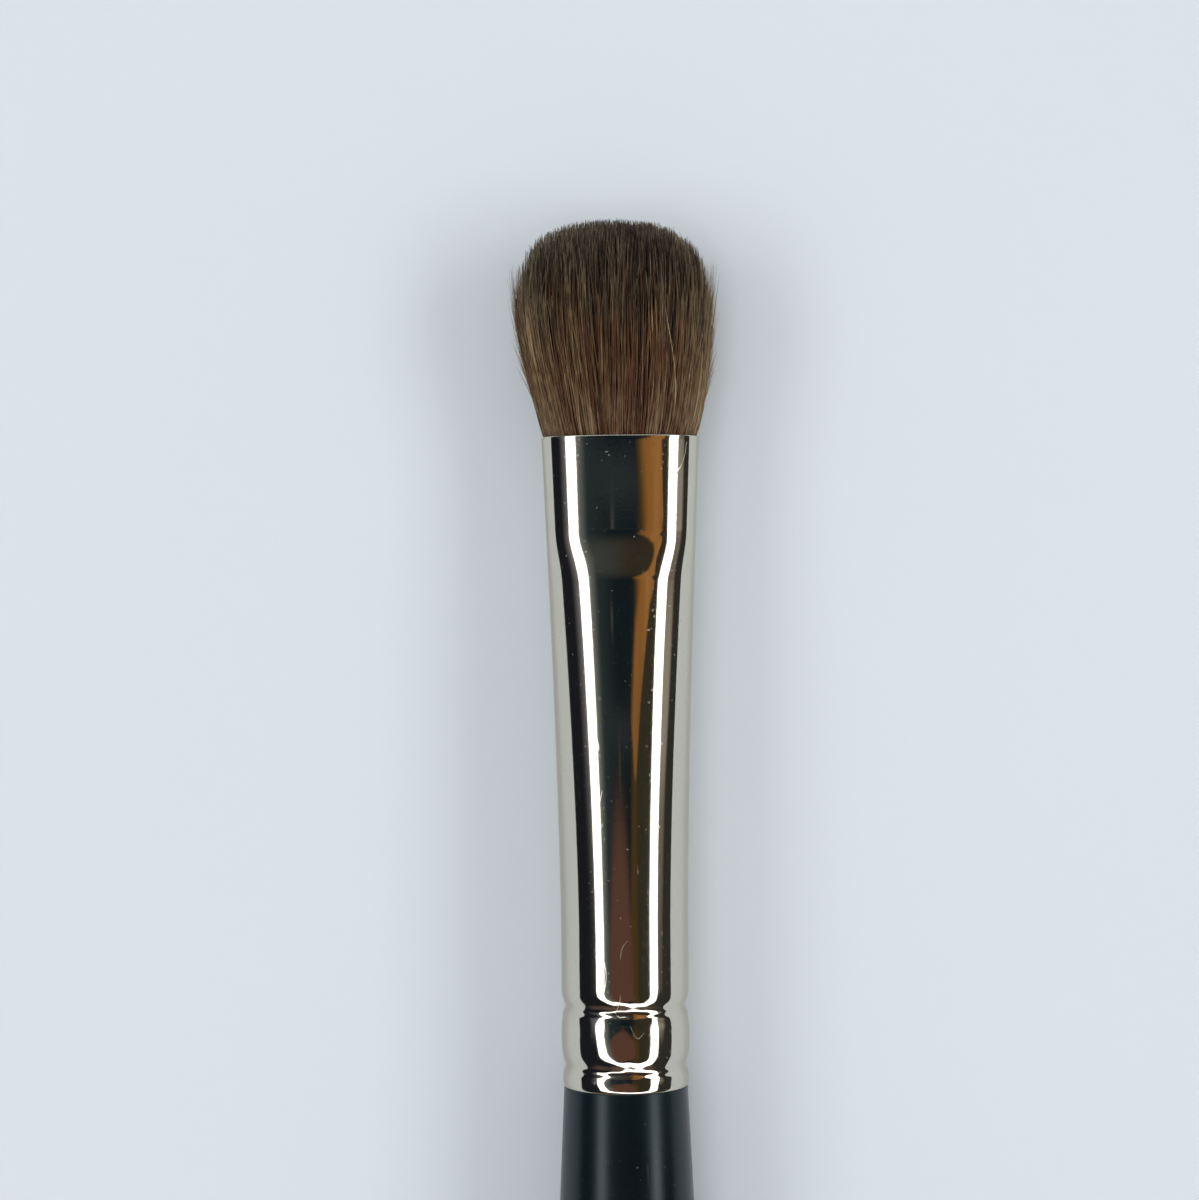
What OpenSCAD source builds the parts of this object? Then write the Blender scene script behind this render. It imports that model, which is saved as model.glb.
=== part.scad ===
// Eyeshadow brush, lying on a table: hair toward +Y, handle toward -Y, pressed faces up and down.
// Each module draws its piece standing, with the ferrule's mouth at z = 0 and the hair above, and then
// lays it down.

/* [Hair] */
// Free length of the hair, from the ferrule's mouth to the highest tips
hair_len = 11; // [9:0.5:14]
// Width of the head at its widest place
hair_w = 10.2; // [9:0.1:12]
// Thickness of the head at its widest place
hair_t = 6.2; // [5.2:0.1:7.4]
// Distance of the widest place from the mouth
hair_belly_len = 7.2; // [5.5:0.1:7.5]
// Distance from the mouth at which the domed top begins
hair_shoulder_len = 7; // [6:0.1:7.5]
// Length of each strand's fine tip
tip_len = 2.1; // [1.4:0.1:2.4]
// Rows of strands across the bundle, whose square is the number of strands
strand_rows = 20; // [18:2:22]

/* [Ferrule] */
// Length of the ferrule, from its mouth to the handle
ferrule_len = 33.2; // [32:0.2:38]
// Diameter of the round tube behind the flattened part
neck_d = 6.53; // [6.2:0.01:6.8]
// Width of the flattened mouth
mouth_w = 8.1; // [7.7:0.05:8.5]
// Thickness of the flattened mouth
mouth_t = 4.5; // [4.2:0.1:4.8]
// Thickness at the inner end of the pressed faces
press_t = 4.3; // [4:0.1:4.6]
// Length of the pressed faces
press_len = 5; // [4:0.1:6]
// Length of the bend between the pressed faces and the drawn oval
bend_len = 2.2; // [1.4:0.1:2.6]
// Length of the plain round stretch in front of the first groove, where the flare has ended
round_len = 2.8; // [2:0.1:5]
// Wall of the tube
wall = 0.25; // [0.2:0.01:0.32]

/* [Rolled grooves] */
// Distance between the two grooves, which is the length of the bead
bead_pitch = 3.02; // [2.6:0.01:3.3]
// Distance from the second groove to the end of the ferrule
skirt_len = 1.06; // [0.9:0.01:1.4]
// Depth of the first groove below the tube
groove_depth = 0.19; // [0.1:0.01:0.24]
// Length over which the wall curves down into a groove
groove_fall_len = 1.25; // [0.8:0.05:1.5]
// Length over which the wall climbs out of a groove
groove_rise_len = 0.38; // [0.25:0.01:0.5]

/* [Handle] */
// Length of the handle that shows behind the ferrule
handle_len = 122; // [100:1:150]
// Diameter of the handle where it meets the ferrule
shoulder_d = 6.33; // [6.1:0.01:6.4]
// Diameter of the handle's belly
belly_d = 8; // [7:0.1:9]
// Distance of the belly from the ferrule
belly_dist = 28; // [15:0.5:40]
// Diameter of the handle near its rounded end
tail_d = 4.4; // [3.6:0.1:5.4]
// Length of the rounded end
tail_round_len = 2.6; // [1.6:0.1:4]

/* [Inside the ferrule] */
// Length by which the hair roots reach past the bend of the tube
root_past_len = 1.8; // [1.7:0.1:2.4]
// Length of the thread winding round the roots
tie_len = 1.3; // [1:0.1:1.6]
// Thickness of the thread winding
tie_thick = 0.3; // [0.2:0.05:0.4]
// Length of the cast resin plug behind the roots
resin_len = 4.6; // [3:0.2:4.8]
// Empty length between the resin and the front of the handle's tenon
tenon_gap = 3.6; // [2:0.2:4.2]

/* [Hidden] */

neck_r = neck_d / 2;
bore_r = neck_r - wall;
// clearance of the hair roots and the resin to the ferrule's wall
root_fit = 0.08;
// clearance of the winding to the roots and to the wall
tie_fit = 0.04;
// distance of the winding from the butt end of the roots
tie_inset = 0.35;
// radial room that the glue fills between the tenon and the tube
glue_fit = 0.1;
// chamfer on the front of the tenon
tenon_chamfer = 0.5;
// bevel of the ferrule's lip
lip_bevel = 0.07;
// how much smaller in radius the bead and the skirt are than the tube, and the height of their crown
band_drop = 0.06;
crown_height = 0.05;
// how far the rim of the skirt rolls in at the end, and over what length
rim_roll = 0.06;
rim_roll_len = 0.18;

// Shape exponents: the tube's flare, the pressed section's squareness, how late the wall falls into
// a groove, the lean of the bead's crown, the dome of the head and the handle's long taper
flare_power = 1.45;
press_power = 2.12;
fall_power = 2.4;
crown_power = 0.7;
dome_power = 2.5;
tail_power = 0.9;

second_groove_at = ferrule_len - skirt_len;
first_groove_at = second_groove_at - bead_pitch;
// where the flare ends and the tube is round
flare_len = first_groove_at - groove_fall_len - round_len;
// where the roots end inside the ferrule, and where the tenon begins
root_len = press_len + bend_len + root_past_len;
tenon_front_at = root_len + resin_len + tenon_gap;
// radii left at the bottom of a groove and at the edges of the bead and the skirt
groove_r = neck_r - groove_depth;
band_r = neck_r - band_drop;

// How finely the sections and curves are drawn
section_sides = 60;
flare_steps = 5;
bend_steps = 3;
tenon_steps = 6;
resin_steps = 2;
fall_steps = 5;
rise_steps = 3;
band_steps = 4;
rim_steps = 2;
handle_steps = 30;
round_steps = 10;
arc_sides = 96;
strand_seed = 7;

// Strands at each ring are drawn in toward their own axis by these shares of their cell
mid_room_share = 0.12;
belly_room_share = 0.22;
// height of the strands' first ring, as a share of the length up to the widest place
mid_ring_share = 0.52;
// widths of the head at its highest tips, as shares of its widest
tip_width_share = 0.96;
tip_thick_share = 0.9;
// uneven ends: spread of the tips along and across the strands, as shares of the fine tip
tip_rise_share = 0.16;
tip_sway_share = 0.05;

function ease(t) = let(u = max(0, min(1, t))) u * u * (3 - 2 * u);
function mix(a, b, t) = a + (b - a) * t;
function signed_power(x, p) = sign(x) * pow(abs(x), p);

// Closed ring of points at height z: an ellipse at power 2, squarer above it
function ring(half_w, half_t, z, power = 2) = [
    for (i = [0 : section_sides - 1])
        let (a = 360 * i / section_sides)
        [half_w * signed_power(cos(a), 2 / power), half_t * signed_power(sin(a), 2 / power), z]
];

// Outside of the drawn tube at a distance from the mouth. Its perimeter stays that of the round neck.
function tube_half_w(at) =
    neck_r + (mouth_w / 2 - neck_r) * pow(max(0, 1 - at / flare_len), flare_power);
function drawn_half_t(at) = sqrt(2 * pow(neck_r, 2) - pow(tube_half_w(at), 2));
function pressed_half_t(at) = mix(mouth_t, press_t, at / press_len) / 2;
function bend_share(at) = ease((at - press_len) / bend_len);
function tube_half_t(at) = mix(pressed_half_t(min(at, press_len)), drawn_half_t(at), bend_share(at));
function tube_power(at) = mix(press_power, 2, bend_share(at));

// Distances from the mouth at which the sections of the flattened and drawn part lie, the mouth's left out
flare_stations = [
    press_len / 2,
    for (i = [0 : bend_steps]) press_len + bend_len * i / bend_steps,
    for (i = [1 : flare_steps]) mix(press_len + bend_len, flare_len, i / flare_steps)
];

// Outer radius of the round tube, its grooves, bead and skirt at a distance from the mouth
function fall_share(at, groove) = ease(pow(max(0, 1 - (groove - at) / groove_fall_len), fall_power));
function band_radius(at, groove, to) =
    let (from = groove + groove_rise_len, t = max(0, (at - from) / (to - from)))
    mix(groove_r, band_r, ease((at - groove) / groove_rise_len))
        + crown_height * sin(180 * pow(t, crown_power));
function rim_drop(at) =
    rim_roll * (1 - sqrt(1 - pow(max(0, 1 - (ferrule_len - at) / rim_roll_len), 2)));
function rolled_radius(at) =
    at <= first_groove_at
        ? neck_r - groove_depth * fall_share(at, first_groove_at)
    : at <= second_groove_at
        ? band_radius(at, first_groove_at, second_groove_at)
            - (band_r - groove_r) * fall_share(at, second_groove_at)
    : band_radius(at, second_groove_at, ferrule_len) - rim_drop(at);

function between(from, to, steps) = [for (i = [0 : steps]) mix(from, to, i / steps)];
function after(from, to, steps) = [for (i = [1 : steps]) mix(from, to, i / steps)];
rolled_stations = [
    each between(first_groove_at - groove_fall_len, first_groove_at, fall_steps),
    each after(first_groove_at, first_groove_at + groove_rise_len, rise_steps),
    each after(first_groove_at + groove_rise_len, second_groove_at - groove_fall_len, band_steps),
    each after(second_groove_at - groove_fall_len, second_groove_at, fall_steps),
    each after(second_groove_at, second_groove_at + groove_rise_len, rise_steps),
    each after(second_groove_at + groove_rise_len, ferrule_len - rim_roll_len, rim_steps),
    each after(ferrule_len - rim_roll_len, ferrule_len, rim_steps)
];

// Section of the ferrule at a distance from the mouth, drawn in by so much
function tube_ring(at, inward = 0) =
    at > flare_len
        ? ring(rolled_radius(at) - inward, rolled_radius(at) - inward, -at)
        : ring(tube_half_w(at) - inward, tube_half_t(at) - inward, -at, tube_power(at));

// Handle radius at a distance behind the ferrule, up to where the rounded end begins
tail_at = handle_len - tail_round_len;
function taper_share(at) = pow((at - belly_dist) / (tail_at - belly_dist), tail_power);
function handle_radius(at) =
    at < belly_dist
        ? mix(shoulder_d, belly_d, sin(90 * at / belly_dist)) / 2
        : mix(tail_d, belly_d, (1 + cos(180 * taper_share(at))) / 2) / 2;

// Lays a standing piece on the table, with the middle of the brush's length over the origin
module lying() {
    middle = (hair_len - ferrule_len - handle_len) / 2;
    translate([0, -middle, max(belly_d, hair_t) / 2]) rotate([-90, 0, 0]) children();
}

// Solid through a list of rings from the lowest up, with a flat face at each end
module loft(rings) {
    sides = len(rings[0]);
    top = (len(rings) - 1) * sides;
    polyhedron(
        points = [for (r = rings) each r],
        faces = [
            for (k = [0 : len(rings) - 2], i = [0 : sides - 1])
                let (j = (i + 1) % sides, low = k * sides, high = low + sides)
                each [[low + i, high + i, high + j], [low + i, high + j, low + j]],
            for (i = [1 : sides - 2]) each [[0, i, i + 1], [top, top + i + 1, top + i]]
        ]
    );
}

// Tube through a closed chain of rings that runs down the outside and up the inside
module loft_tube(rings) {
    sides = len(rings[0]);
    count = len(rings);
    polyhedron(
        points = [for (r = rings) each r],
        faces = [
            for (k = [0 : count - 1], i = [0 : sides - 1])
                let (j = (i + 1) % sides, high = k * sides, low = (k + 1) % count * sides)
                each [[low + i, high + i, high + j], [low + i, high + j, low + j]]
        ]
    );
}

// Half width and half thickness of the free hair at a height above the mouth
root_half_w = mouth_w / 2 - wall - root_fit;
root_half_t = mouth_t / 2 - wall - root_fit;
function swell(z) = sin(90 * min(1, z / hair_belly_len));
function close(z) = 1 - cos(90 * max(0, (z - hair_belly_len) / (hair_len - hair_belly_len)));
function hair_half_w(z) =
    mix(root_half_w, hair_w / 2, swell(z)) * (1 - (1 - tip_width_share) * close(z));
function hair_half_t(z) =
    mix(root_half_t, hair_t / 2, swell(z)) * (1 - (1 - tip_thick_share) * close(z));
// Height of a tip by its place in the bundle, from 0 at the axis to 1 at the outside
function dome(rho) =
    hair_shoulder_len
    + (hair_len - hair_shoulder_len) * pow(1 - pow(rho, dome_power), 1 / dome_power);

// Square grid folded onto a disc with cells of equal area
function disc(u, v) =
    u == 0 && v == 0 ? [0, 0]
    : abs(u) >= abs(v) ? u * [cos(45 * v / u), sin(45 * v / u)]
    : v * [sin(45 * u / v), cos(45 * u / v)];
function grid_point(i, j) = disc(2 * i / strand_rows - 1, 2 * j / strand_rows - 1);

// Hair head: one strand of 4 sides to each cell of the grid. The cells meet at the mouth, where the
// strands grow out of the bundle of roots, and all strands spread alike above it, so that none cross.
module hair_head() {
    rows = strand_rows;
    count = rows * rows;
    waist = root_len - tie_inset - tie_len;
    lattice = [
        for (j = [0 : rows], i = [0 : rows])
            let (p = grid_point(i, j)) [root_half_w * p.x, root_half_t * p.y, 0]
    ];
    // lattice points round the outside, anticlockwise from above
    rim = [
        for (i = [0 : rows - 1]) i,
        for (j = [0 : rows - 1]) j * (rows + 1) + rows,
        for (i = [0 : rows - 1]) rows * (rows + 1) + rows - i,
        for (j = [0 : rows - 1]) (rows - j) * (rows + 1)
    ];
    rim_dirs = [for (k = rim) grid_point(k % (rows + 1), floor(k / (rows + 1)))];
    rise = rands(-1, 1, count, strand_seed);
    sway_x = rands(-1, 1, count, strand_seed + 1);
    sway_y = rands(-1, 1, count, strand_seed + 2);
    strands = [
        for (j = [0 : rows - 1], i = [0 : rows - 1])
            let (
                k = j * rows + i,
                corners = [for (c = [[0, 0], [1, 0], [1, 1], [0, 1]]) grid_point(i + c.x, j + c.y)],
                middle = (corners[0] + corners[1] + corners[2] + corners[3]) / 4,
                tip_z = dome(norm(middle)) + tip_len * tip_rise_share * rise[k],
                mid_z = mid_ring_share * hair_belly_len,
                belly_z = tip_z - tip_len,
                at_mid = [for (c = corners) mix(c, middle, mid_room_share)],
                at_belly = [for (c = corners) mix(c, middle, belly_room_share)],
                sway = tip_len * tip_sway_share
            )
            each [
                for (c = at_mid) [hair_half_w(mid_z) * c.x, hair_half_t(mid_z) * c.y, mid_z],
                for (c = at_belly) [hair_half_w(belly_z) * c.x, hair_half_t(belly_z) * c.y, belly_z],
                [
                    hair_half_w(tip_z) * middle.x + sway * sway_x[k],
                    hair_half_t(tip_z) * middle.y + sway * sway_y[k],
                    tip_z
                ]
            ]
    ];
    // roots inside the ferrule: distance from the mouth and how much thinner they are than the tube there
    root_stations = [
        [press_len, 0],
        [press_len + bend_len / 2, 0],
        [waist - tie_fit, 0],
        [waist - tie_fit, tie_thick + tie_fit],
        [root_len, tie_thick + tie_fit]
    ];
    function root_point(dir, at, thinner) =
        let (
            inward = wall + root_fit + thinner,
            a = atan2(dir.y, dir.x),
            p = tube_power(at)
        )
        [
            (tube_half_w(at) - inward) * signed_power(cos(a), 2 / p),
            (tube_half_t(at) - inward) * signed_power(sin(a), 2 / p),
            -at
        ];
    roots = [for (s = root_stations, d = rim_dirs) root_point(d, s[0], s[1])];
    strand_start = len(lattice);
    root_start = strand_start + len(strands);
    around = len(rim);
    last = root_start + (len(root_stations) - 1) * around;
    // each strand has 4 points at the middle, 4 at the belly and its tip
    per_strand = 9;
    color("#6b5540") lying() polyhedron(
        points = concat(lattice, strands, roots),
        faces = [
            for (j = [0 : rows - 1], i = [0 : rows - 1])
                let (
                    base = [
                        j * (rows + 1) + i,
                        j * (rows + 1) + i + 1,
                        (j + 1) * (rows + 1) + i + 1,
                        (j + 1) * (rows + 1) + i
                    ],
                    own = strand_start + (j * rows + i) * per_strand
                )
                for (c = [0 : 3])
                    let (d = (c + 1) % 4)
                    each [
                        [base[c], own + c, own + d],
                        [base[c], own + d, base[d]],
                        [own + c, own + 4 + c, own + 4 + d],
                        [own + c, own + 4 + d, own + d],
                        [own + 4 + c, own + 8, own + 4 + d]
                    ],
            for (c = [0 : around - 1])
                let (d = (c + 1) % around)
                each [
                    [root_start + c, rim[c], rim[d]],
                    [root_start + c, rim[d], root_start + d]
                ],
            for (k = [0 : len(root_stations) - 2], c = [0 : around - 1])
                let (d = (c + 1) % around, high = root_start + k * around, low = high + around)
                each [[low + c, high + c, high + d], [low + c, high + d, low + d]],
            for (c = [1 : around - 2]) [last, last + c, last + c + 1]
        ]
    );
}

// Ferrule: drawn metal tube, pressed flat at the mouth, with two rolled grooves and a bead at the handle
module ferrule() {
    stations = concat(flare_stations, rolled_stations);
    color("#c9c5bd") lying() loft_tube([
        tube_ring(0, lip_bevel),
        tube_ring(lip_bevel),
        for (at = stations) tube_ring(at),
        for (i = [len(stations) - 1 : -1 : 0]) tube_ring(stations[i], wall),
        tube_ring(0, wall)
    ]);
}

// Handle: turned and lacquered wood. Its tenon narrows forward, to clear the flattening of the tube.
module handle() {
    inward = wall + glue_fit;
    full_from = tenon_front_at + tenon_chamfer;
    profile = [
        [0, -tenon_front_at],
        [drawn_half_t(tenon_front_at) - inward - tenon_chamfer, -tenon_front_at],
        for (at = between(full_from, flare_len, tenon_steps)) [drawn_half_t(at) - inward, -at],
        for (at = rolled_stations) [rolled_radius(at) - inward, -at],
        for (at = between(0, belly_dist, round_steps)) [handle_radius(at), -ferrule_len - at],
        for (at = after(belly_dist, tail_at, handle_steps)) [handle_radius(at), -ferrule_len - at],
        for (a = after(0, 90, round_steps))
            [tail_d / 2 * cos(a), -ferrule_len - tail_at - tail_round_len * sin(a)]
    ];
    color("#14191b") lying() rotate_extrude($fn = arc_sides) polygon(profile);
}

// Thread wound round the butt of the roots, as one oval band
module root_tie() {
    outer = wall + root_fit;
    inner = outer + tie_thick;
    low = root_len - tie_inset;
    high = low - tie_len;
    color("#d8d2c0") lying() loft_tube([
        tube_ring(high, outer),
        tube_ring(low, outer),
        tube_ring(low, inner),
        tube_ring(high, inner)
    ]);
}

// Resin cast behind the roots, against their butt end
module resin_plug() {
    inward = wall + root_fit;
    stations = between(root_len + resin_len, root_len, resin_steps);
    color("#b98f4e") lying() loft([for (at = stations) tube_ring(at, inward)]);
}

// Glue in the narrow gap between the tenon and the round stretch of the tube
module tenon_glue() {
    glue_end_at = flare_len + round_len;
    // flats of this ring just touch the round tenon
    inner_r = (bore_r - glue_fit) / cos(180 / section_sides);
    color("#e6dfc8") lying() loft_tube([
        ring(bore_r, bore_r, -flare_len),
        ring(bore_r, bore_r, -glue_end_at),
        ring(inner_r, inner_r, -glue_end_at),
        ring(inner_r, inner_r, -flare_len)
    ]);
}

hair_head();
ferrule();
handle();
root_tie();
resin_plug();
tenon_glue();
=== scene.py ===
"""Looks of the eyeshadow brush: bristles, plated ferrule and lacquered handle, on a pale table."""

import math

import bpy
import numpy as np
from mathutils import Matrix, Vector


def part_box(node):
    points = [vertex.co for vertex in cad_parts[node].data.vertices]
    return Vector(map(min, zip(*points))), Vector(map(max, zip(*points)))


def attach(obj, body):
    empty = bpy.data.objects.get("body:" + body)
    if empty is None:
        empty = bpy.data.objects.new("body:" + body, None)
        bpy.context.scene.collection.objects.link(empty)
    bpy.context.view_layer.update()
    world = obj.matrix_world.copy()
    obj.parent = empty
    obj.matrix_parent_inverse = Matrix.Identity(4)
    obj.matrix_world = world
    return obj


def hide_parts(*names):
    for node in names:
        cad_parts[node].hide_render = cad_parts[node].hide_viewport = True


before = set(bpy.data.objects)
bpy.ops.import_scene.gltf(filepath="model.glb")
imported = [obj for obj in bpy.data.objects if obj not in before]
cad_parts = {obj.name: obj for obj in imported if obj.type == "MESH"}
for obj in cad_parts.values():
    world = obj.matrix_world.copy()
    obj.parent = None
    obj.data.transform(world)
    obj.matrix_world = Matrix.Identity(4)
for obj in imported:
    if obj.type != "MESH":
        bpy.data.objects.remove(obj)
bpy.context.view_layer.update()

# Sizes of the brush in millimetres. They are those of the CAD source, but for the bend's length and place,
# the bands' bulge, the bristles' width and the dome's fullness, which were fitted to the photograph's
# reflections and outline afterwards.
HAIR_LEN = 11.0
HAIR_W = 10.0
HAIR_T = 6.2
HAIR_BELLY_LEN = 7.2
HAIR_SHOULDER_LEN = 7.0
TIP_WIDTH_SHARE = 0.96
TIP_THICK_SHARE = 0.9
DOME_POWER = 2.7
FERRULE_LEN = 33.2
NECK_R = 6.53 / 2
MOUTH_W = 8.1
MOUTH_T = 4.5
PRESS_T = 4.3
PRESS_LEN = 4.8
PRESS_POWER = 2.12
BEND_LEN = 2.6
ROUND_LEN = 2.8
FLARE_POWER = 1.45
WALL = 0.25
SKIRT_LEN = 1.06
BEAD_PITCH = 3.02
GROOVE_DEPTH = 0.19
GROOVE_FALL_LEN = 1.25
GROOVE_RISE_LEN = 0.38
FALL_POWER = 2.4
BAND_DROP = 0.06
CROWN_SHARE = 0.032
CROWN_POWER = 0.85
RIM_ROLL = 0.06
RIM_ROLL_LEN = 0.18
LIP_ROUND = 0.07
HANDLE_LEN = 122.0
SHOULDER_D = 6.33
BELLY_D = 8.0
BELLY_DIST = 28.0
TAIL_D = 4.4
TAIL_ROUND_LEN = 2.6
TAIL_POWER = 0.9
TENON_FRONT_AT = 17.2
TENON_CHAMFER = 0.5
GLUE_FIT = 0.1
ROOT_FIT = 0.08

SECOND_GROOVE_AT = FERRULE_LEN - SKIRT_LEN
FIRST_GROOVE_AT = SECOND_GROOVE_AT - BEAD_PITCH
FLARE_LEN = FIRST_GROOVE_AT - GROOVE_FALL_LEN - ROUND_LEN
GROOVE_R = NECK_R - GROOVE_DEPTH
BAND_R = NECK_R - BAND_DROP
TAIL_AT = HANDLE_LEN - TAIL_ROUND_LEN

# Units, and where the brush lies in the shared frame
MM = 0.001
ferrule_low, ferrule_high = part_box("ferrule")
MOUTH_Y = ferrule_high.y / MM
AXIS_Z = (ferrule_low.z + ferrule_high.z) / 2 / MM

rng = np.random.default_rng(7)


# Camera, straight above the brush

CAMERA_SIDE = -1.13
CAMERA_BEHIND_MOUTH = 8.36
CAMERA_HEIGHT = 145.0
CAMERA_TURN = -0.53
PIXELS_PER_MM = 19.5
PHOTO_LONG_SIDE = 1200
SENSOR = 36.0
CLIP_NEAR = 0.01
CLIP_FAR = 10


def make_camera():
    data = bpy.data.cameras.new("photo_camera")
    data.sensor_width = SENSOR
    data.lens = SENSOR * CAMERA_HEIGHT / (PHOTO_LONG_SIDE / PIXELS_PER_MM)
    data.clip_start = CLIP_NEAR
    data.clip_end = CLIP_FAR
    camera = bpy.data.objects.new("photo_camera", data)
    camera.location = Vector((CAMERA_SIDE, MOUTH_Y - CAMERA_BEHIND_MOUTH, AXIS_Z + CAMERA_HEIGHT)) * MM
    camera.rotation_euler = (0, 0, math.radians(CAMERA_TURN))
    bpy.context.scene.collection.objects.link(camera)
    bpy.context.scene.camera = camera


# Outline formulas of the tube, the handle and the bristles

def mix(a, b, t):
    return a + (b - a) * t


def smooth(t):
    t = np.clip(t, 0, 1)
    return t * t * (3 - 2 * t)


def tube_half_w(at):
    return NECK_R + (MOUTH_W / 2 - NECK_R) * np.maximum(0, 1 - at / FLARE_LEN) ** FLARE_POWER


def drawn_half_t(at):
    return np.sqrt(2 * NECK_R ** 2 - tube_half_w(at) ** 2)


def bend_share(at):
    return smooth((at - PRESS_LEN) / BEND_LEN)


def tube_half_t(at):
    pressed = mix(MOUTH_T, PRESS_T, np.minimum(at, PRESS_LEN) / PRESS_LEN) / 2
    return mix(pressed, drawn_half_t(at), bend_share(at))


def tube_power(at):
    return mix(PRESS_POWER, 2, bend_share(at))


def fall_share(at, groove):
    return smooth(np.clip(1 - (groove - at) / GROOVE_FALL_LEN, 0, 1) ** FALL_POWER)


def band_radius(at, groove, end):
    start = groove + GROOVE_RISE_LEN
    share = np.clip((at - start) / (end - start), 0, 1)
    climb = mix(GROOVE_R, BAND_R, smooth((at - groove) / GROOVE_RISE_LEN))
    return climb + CROWN_SHARE * (end - start) * np.sin(np.pi * share ** CROWN_POWER)


def rolled_radius(at):
    neck = NECK_R - GROOVE_DEPTH * fall_share(at, FIRST_GROOVE_AT)
    bead = band_radius(at, FIRST_GROOVE_AT, SECOND_GROOVE_AT)
    bead = bead - (BAND_R - GROOVE_R) * fall_share(at, SECOND_GROOVE_AT)
    turn = np.clip(1 - (FERRULE_LEN - at) / RIM_ROLL_LEN, 0, 1)
    skirt = band_radius(at, SECOND_GROOVE_AT, FERRULE_LEN) - RIM_ROLL * (1 - np.sqrt(1 - turn ** 2))
    return np.select([at <= FIRST_GROOVE_AT, at <= SECOND_GROOVE_AT], [neck, bead], skirt)


def handle_radius(at):
    front = mix(SHOULDER_D, BELLY_D, np.sin(np.pi / 2 * np.clip(at / BELLY_DIST, 0, 1))) / 2
    share = np.clip((at - BELLY_DIST) / (TAIL_AT - BELLY_DIST), 0, 1) ** TAIL_POWER
    back = mix(TAIL_D, BELLY_D, (1 + np.cos(np.pi * share)) / 2) / 2
    return np.where(at < BELLY_DIST, front, back)


def hair_close(z):
    return 1 - np.cos(np.pi / 2 * np.clip((z - HAIR_BELLY_LEN) / (HAIR_LEN - HAIR_BELLY_LEN), 0, 1))


def hair_half(z, mouth, swollen, tip_share):
    root = mouth / 2 - WALL - ROOT_FIT
    swell = np.sin(np.pi / 2 * np.clip(z / HAIR_BELLY_LEN, 0, 1))
    return mix(root, swollen / 2, swell) * (1 - (1 - tip_share) * hair_close(z))


def dome(rho):
    rho = np.clip(rho, 0, 1)
    rise = (1 - rho ** DOME_POWER) ** (1 / DOME_POWER)
    return HAIR_SHOULDER_LEN + (HAIR_LEN - HAIR_SHOULDER_LEN) * rise


# Meshes

def place(x, at, up):
    """Millimetres across the brush, behind the mouth and above the axis, as metres in the shared frame."""
    x, at, up = np.broadcast_arrays(x, at, up)
    return np.stack([x, MOUTH_Y - at, AXIS_Z + up], axis=-1) * MM


def add_mesh(name, points, faces, material, smooth_shading=True):
    mesh = bpy.data.meshes.new(name)
    mesh.from_pydata(points.reshape(-1, 3).tolist(), [], faces)
    mesh.polygons.foreach_set("use_smooth", [smooth_shading] * len(mesh.polygons))
    mesh.materials.append(material)
    mesh.update()
    obj = bpy.data.objects.new(name, mesh)
    bpy.context.scene.collection.objects.link(obj)
    return obj


def grid_faces(rows, columns, closed_rows=False):
    """Quads over rows of points, each row a closed ring. With closed_rows the last row joins the first."""
    low = np.arange(rows if closed_rows else rows - 1)[:, None]
    side = np.arange(columns)[None, :]
    high = (low + 1) % rows
    next_side = (side + 1) % columns
    quads = np.stack(np.broadcast_arrays(
        low * columns + side,
        low * columns + next_side,
        high * columns + next_side,
        high * columns + side,
    ), axis=-1)
    return quads.reshape(-1, 4).tolist()


def stations(*stretches):
    """Stations over stretches, each (start, end, steps), without repeats."""
    parts = [np.linspace(start, end, steps + 1) for start, end, steps in stretches]
    return np.unique(np.round(np.concatenate(parts), 6))


FERRULE_AROUND = 240
BEND_MARGIN = 0.4
LIP_POINTS = 6
INNER_EVERY = 4

# Waves of the metal, each with its height in mm, its lobes around, its turn per mm and its start
DRAWN_WAVES = [(0.0016, 2, 0.31, 0), (0.0012, 3, -0.53, 1.1)]
CRINKLES = [(0.006, 9, 2.3, 0), (0.004, 14, -4.1, 0.7), (0.004, 23, 5.3, 1.9)]
FIRST_CRINKLE_LEN = 0.7
SECOND_CRINKLE_LEN = 0.6


def ferrule_stations():
    """Where the outer wall has its rings of points, with more of them where it bends."""
    bend_from = PRESS_LEN - BEND_MARGIN
    bend_to = PRESS_LEN + BEND_LEN + BEND_MARGIN
    first_fall = FIRST_GROOVE_AT - GROOVE_FALL_LEN
    first_rise = FIRST_GROOVE_AT + GROOVE_RISE_LEN
    second_fall = SECOND_GROOVE_AT - GROOVE_FALL_LEN
    second_rise = SECOND_GROOVE_AT + GROOVE_RISE_LEN
    rim_from = FERRULE_LEN - RIM_ROLL_LEN
    return stations(
        (LIP_ROUND, bend_from, 22),
        (bend_from, bend_to, 76),
        (bend_to, FLARE_LEN, 70),
        (FLARE_LEN, first_fall, 8),
        (first_fall, FIRST_GROOVE_AT, 26),
        (FIRST_GROOVE_AT, first_rise, 18),
        (first_rise, second_fall, 24),
        (second_fall, SECOND_GROOVE_AT, 26),
        (SECOND_GROOVE_AT, second_rise, 18),
        (second_rise, rim_from, 10),
        (rim_from, FERRULE_LEN, 10),
    )


def wave_sum(kinds, at, angle):
    return sum(height * np.sin(lobes * angle + turn * at + start) for height, lobes, turn, start in kinds)


def tube_waviness(at, angle):
    """How far the drawn and rolled metal stands off its ideal form, in mm."""
    near_first = np.exp(-((at - FIRST_GROOVE_AT) / FIRST_CRINKLE_LEN) ** 2)
    near_second = np.exp(-((at - SECOND_GROOVE_AT) / SECOND_CRINKLE_LEN) ** 2)
    return wave_sum(DRAWN_WAVES, at, angle) + (near_first + near_second) * wave_sum(CRINKLES, at, angle)


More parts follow.
